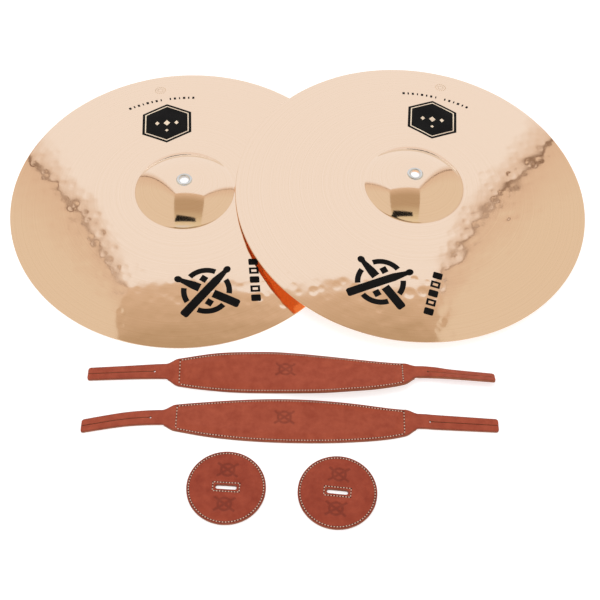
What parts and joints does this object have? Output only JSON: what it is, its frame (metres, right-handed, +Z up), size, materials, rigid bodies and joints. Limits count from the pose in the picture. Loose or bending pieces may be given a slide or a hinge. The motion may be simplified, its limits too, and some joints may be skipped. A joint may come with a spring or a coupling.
{
  "type": "hand cymbals",
  "caption": "Pair of bronze marching hand cymbals laid out with their loose padded leather hand straps and slotted round leather pads.",
  "frame": {"origin": "on the surface that the set lies on, under the middle of the layout", "axes": "+X along the straps, from the left cymbal to the right one; +Y from the pads to the cymbals; +Z up"},
  "size_m": [0.75, 0.6947, 0.057],
  "materials": {
    "bronze": "polished",
    "nickel": "polished",
    "leather": "satin",
    "lining_leather": "matte",
    "padding": "matte",
    "thread": "matte"
  },
  "bodies": {
    "left_cymbal": {"left_cymbal_plate": "bronze", "left_eyelet": "nickel", "left_eyelet_washer": "nickel"},
    "right_cymbal": {"right_cymbal_plate": "bronze", "right_eyelet": "nickel", "right_eyelet_washer": "nickel"},
    "rear_strap": {"rear_strap_lining": "lining_leather", "rear_strap_padding": "padding", "rear_strap_cover": "leather", "rear_strap_near_edge_thread": "thread", "rear_strap_far_edge_thread": "thread", "rear_strap_left_cross_thread": "thread", "rear_strap_right_cross_thread": "thread"},
    "rear_strap_left_tail": {"rear_strap_left_tail": "leather"},
    "rear_strap_left_near_strand": {"rear_strap_left_near_strand": "leather"},
    "rear_strap_left_far_strand": {"rear_strap_left_far_strand": "leather"},
    "rear_strap_right_tail": {"rear_strap_right_tail": "leather"},
    "rear_strap_right_near_strand": {"rear_strap_right_near_strand": "leather"},
    "rear_strap_right_far_strand": {"rear_strap_right_far_strand": "leather"},
    "front_strap": {"front_strap_lining": "lining_leather", "front_strap_padding": "padding", "front_strap_cover": "leather", "front_strap_near_edge_thread": "thread", "front_strap_far_edge_thread": "thread", "front_strap_left_cross_thread": "thread", "front_strap_right_cross_thread": "thread"},
    "front_strap_left_tail": {"front_strap_left_tail": "leather"},
    "front_strap_left_near_strand": {"front_strap_left_near_strand": "leather"},
    "front_strap_left_far_strand": {"front_strap_left_far_strand": "leather"},
    "front_strap_right_tail": {"front_strap_right_tail": "leather"},
    "front_strap_right_near_strand": {"front_strap_right_near_strand": "leather"},
    "front_strap_right_far_strand": {"front_strap_right_far_strand": "leather"},
    "left_pad": {"left_pad_back": "lining_leather", "left_pad_core": "padding", "left_pad_front": "leather", "left_pad_rim_thread": "thread", "left_pad_slot_thread": "thread"},
    "right_pad": {"right_pad_back": "lining_leather", "right_pad_core": "padding", "right_pad_front": "leather", "right_pad_rim_thread": "thread", "right_pad_slot_thread": "thread"}
  },
  "joints": [
    {"name": "right_cymbal_lift", "type": "slide", "parent": "left_cymbal", "child": "right_cymbal", "axis": [0, 0, 1], "range_m": [0, 0.3]},
    {"name": "rear_strap_lift", "type": "slide", "parent": "left_cymbal", "child": "rear_strap", "axis": [0, 0, 1], "range_m": [0, 0.3]},
    {"name": "rear_strap_left_tail_bend", "type": "hinge", "parent": "rear_strap", "child": "rear_strap_left_tail", "pos_m": [-0.15415, -0.14995, 0.00453], "axis": [0, 0.9898, 0.1428], "range_deg": [0, 90]},
    {"name": "rear_strap_left_near_strand_bend", "type": "hinge", "parent": "rear_strap_left_tail", "child": "rear_strap_left_near_strand", "pos_m": [-0.16515, -0.14988, 0.00395], "axis": [0, 0.9953, 0.097], "range_deg": [0, 60]},
    {"name": "rear_strap_left_far_strand_bend", "type": "hinge", "parent": "rear_strap_left_tail", "child": "rear_strap_left_far_strand", "pos_m": [-0.16515, -0.14988, 0.00395], "axis": [0, 0.9953, 0.097], "range_deg": [0, 60]},
    {"name": "rear_strap_right_tail_bend", "type": "hinge", "parent": "rear_strap", "child": "rear_strap_right_tail", "pos_m": [0.14615, -0.14496, 0.00585], "axis": [0, -0.9607, 0.2776], "range_deg": [0, 90]},
    {"name": "rear_strap_right_near_strand_bend", "type": "hinge", "parent": "rear_strap_right_tail", "child": "rear_strap_right_near_strand", "pos_m": [0.15715, -0.14492, 0.0059], "axis": [0, -0.954, 0.2997], "range_deg": [0, 60]},
    {"name": "rear_strap_right_far_strand_bend", "type": "hinge", "parent": "rear_strap_right_tail", "child": "rear_strap_right_far_strand", "pos_m": [0.15715, -0.14492, 0.0059], "axis": [0, -0.954, 0.2997], "range_deg": [0, 60]},
    {"name": "front_strap_lift", "type": "slide", "parent": "left_cymbal", "child": "front_strap", "axis": [0, 0, 1], "range_m": [0, 0.3]},
    {"name": "front_strap_left_tail_bend", "type": "hinge", "parent": "front_strap", "child": "front_strap_left_tail", "pos_m": [-0.15415, -0.21108, 0.003], "axis": [0, 1, 0], "range_deg": [0, 90]},
    {"name": "front_strap_left_near_strand_bend", "type": "hinge", "parent": "front_strap_left_tail", "child": "front_strap_left_near_strand", "pos_m": [-0.16515, -0.21145, 0.003], "axis": [0, 1, 0], "range_deg": [0, 60]},
    {"name": "front_strap_left_far_strand_bend", "type": "hinge", "parent": "front_strap_left_tail", "child": "front_strap_left_far_strand", "pos_m": [-0.16515, -0.21145, 0.003], "axis": [0, 1, 0], "range_deg": [0, 60]},
    {"name": "front_strap_right_tail_bend", "type": "hinge", "parent": "front_strap", "child": "front_strap_right_tail", "pos_m": [0.14615, -0.21035, 0.003], "axis": [0, -1, 0], "range_deg": [0, 90]},
    {"name": "front_strap_right_near_strand_bend", "type": "hinge", "parent": "front_strap_right_tail", "child": "front_strap_right_near_strand", "pos_m": [0.15715, -0.21077, 0.003], "axis": [0, -1, 0], "range_deg": [0, 60]},
    {"name": "front_strap_right_far_strand_bend", "type": "hinge", "parent": "front_strap_right_tail", "child": "front_strap_right_far_strand", "pos_m": [0.15715, -0.21077, 0.003], "axis": [0, -1, 0], "range_deg": [0, 60]},
    {"name": "left_pad_lift", "type": "slide", "parent": "left_cymbal", "child": "left_pad", "axis": [0, 0, 1], "range_m": [0, 0.3]},
    {"name": "right_pad_lift", "type": "slide", "parent": "left_cymbal", "child": "right_pad", "axis": [0, 0, 1], "range_m": [0, 0.3]}
  ]
}
